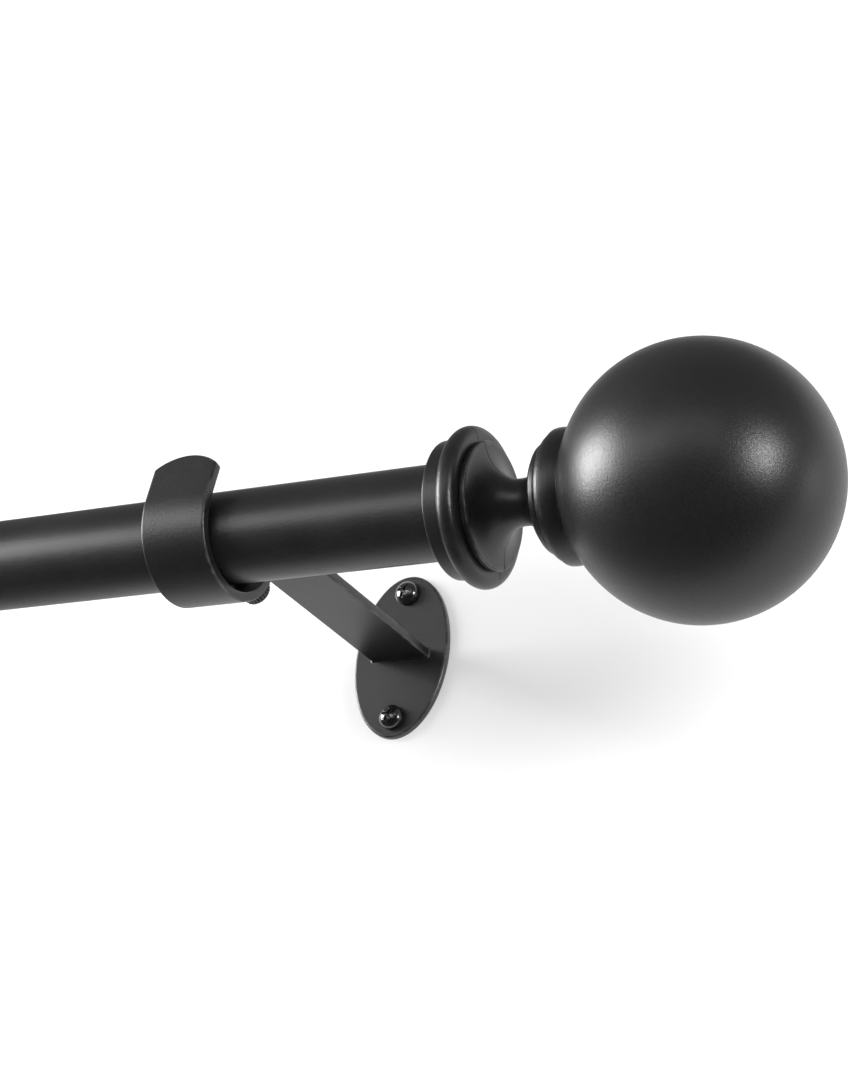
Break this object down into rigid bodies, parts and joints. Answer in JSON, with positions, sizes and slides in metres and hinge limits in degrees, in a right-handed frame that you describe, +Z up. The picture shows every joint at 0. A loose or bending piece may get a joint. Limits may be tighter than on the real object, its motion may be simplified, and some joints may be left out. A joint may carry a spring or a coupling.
{
  "type": "curtain rod with brackets",
  "caption": "Round telescoping curtain rod with ball finials, carried in open hook brackets on oval wall plates.",
  "frame": {"origin": "middle of the back face of the right-hand wall plate, on the wall surface", "axes": "+X along the rod towards the right-hand finial, +Y into the wall, +Z up"},
  "size_m": [0.8998, 0.1745, 0.0735],
  "materials": {
    "satin_black_paint": "satin powder coat with a very fine grain",
    "blackened_steel": "black oxide, semi-gloss",
    "glossy_black_screw": "gloss black",
    "black_nylon": "moulded, matte",
    "zinc_insert": "bare die-cast zinc"
  },
  "bodies": {
    "right_bracket": {"right_wall_plate": "satin_black_paint", "right_bracket_arm": "satin_black_paint", "right_wall_screw_upper": "glossy_black_screw", "right_wall_screw_lower": "glossy_black_screw"},
    "rod": {"outer_tube": "satin_black_paint", "right_tube_plug": "black_nylon"},
    "inner_rod": {"inner_tube": "satin_black_paint", "inner_tube_glide": "black_nylon", "left_tube_plug": "black_nylon", "left_adapter_sleeve": "black_nylon"},
    "left_bracket": {"left_wall_plate": "satin_black_paint", "left_bracket_arm": "satin_black_paint", "left_wall_screw_upper": "glossy_black_screw", "left_wall_screw_lower": "glossy_black_screw"},
    "right_stud": {"right_finial_stud": "blackened_steel"},
    "right_finial": {"right_finial_collar": "satin_black_paint", "right_finial_seat": "satin_black_paint", "right_finial_ball": "satin_black_paint", "right_ball_insert": "zinc_insert"},
    "right_thumb": {"right_thumb_screw": "blackened_steel"},
    "right_thumb_knob": {"right_thumb_head": "blackened_steel"},
    "left_stud": {"left_finial_stud": "blackened_steel"},
    "left_finial": {"left_finial_collar": "satin_black_paint", "left_finial_seat": "satin_black_paint", "left_finial_ball": "satin_black_paint", "left_ball_insert": "zinc_insert"},
    "left_thumb": {"left_thumb_screw": "blackened_steel"},
    "left_thumb_knob": {"left_thumb_head": "blackened_steel"}
  },
  "joints": [
    {"name": "rod_lift", "type": "slide", "parent": "right_bracket", "child": "rod", "axis": [0, 0.1736, 0.9848], "range_m": [0, 0.045]},
    {"name": "telescope", "type": "slide", "parent": "rod", "child": "inner_rod", "axis": [-1, 0, 0], "range_m": [0, 0.508]},
    {"name": "left_bracket_slide", "type": "slide", "parent": "right_bracket", "child": "left_bracket", "axis": [-1, 0, 0], "range_m": [0, 0.508]},
    {"name": "right_finial_unscrew", "type": "slide", "parent": "rod", "child": "right_stud", "axis": [1, 0, 0], "range_m": [0, 0.0075]},
    {"name": "right_finial_turn", "type": "hinge", "parent": "right_stud", "child": "right_finial", "pos_m": [0.0766, -0.1115, -0.0112], "axis": [1, 0, 0], "range_deg": [0, 2700]},
    {"name": "left_finial_unscrew", "type": "slide", "parent": "inner_rod", "child": "left_stud", "axis": [-1, 0, 0], "range_m": [0, 0.0075]},
    {"name": "left_finial_turn", "type": "hinge", "parent": "left_stud", "child": "left_finial", "pos_m": [-0.617, -0.1115, -0.0112], "axis": [-1, 0, 0], "range_deg": [0, 2700]},
    {"name": "right_thumb_unscrew", "type": "slide", "parent": "right_bracket", "child": "right_thumb", "axis": [0, 0.9945, -0.1045], "range_m": [0, 0.005]},
    {"name": "right_thumb_turn", "type": "hinge", "parent": "right_thumb", "child": "right_thumb_knob", "pos_m": [0, -0.1115, -0.0112], "axis": [0, 0.9945, -0.1045], "range_deg": [0, 2250]},
    {"name": "left_thumb_unscrew", "type": "slide", "parent": "left_bracket", "child": "left_thumb", "axis": [0, 0.9945, -0.1045], "range_m": [0, 0.0066]},
    {"name": "left_thumb_turn", "type": "hinge", "parent": "left_thumb", "child": "left_thumb_knob", "pos_m": [-0.5404, -0.1115, -0.0112], "axis": [0, 0.9945, -0.1045], "range_deg": [0, 2970]}
  ],
  "couplings": [
    {"joint": "left_bracket_slide", "follows": "telescope", "ratio": 1},
    {"joint": "right_finial_turn", "follows": "right_finial_unscrew", "rad_per_m": 6283.2},
    {"joint": "left_finial_turn", "follows": "left_finial_unscrew", "rad_per_m": 6283.2},
    {"joint": "right_thumb_turn", "follows": "right_thumb_unscrew", "rad_per_m": 7854},
    {"joint": "left_thumb_turn", "follows": "left_thumb_unscrew", "rad_per_m": 7854}
  ]
}
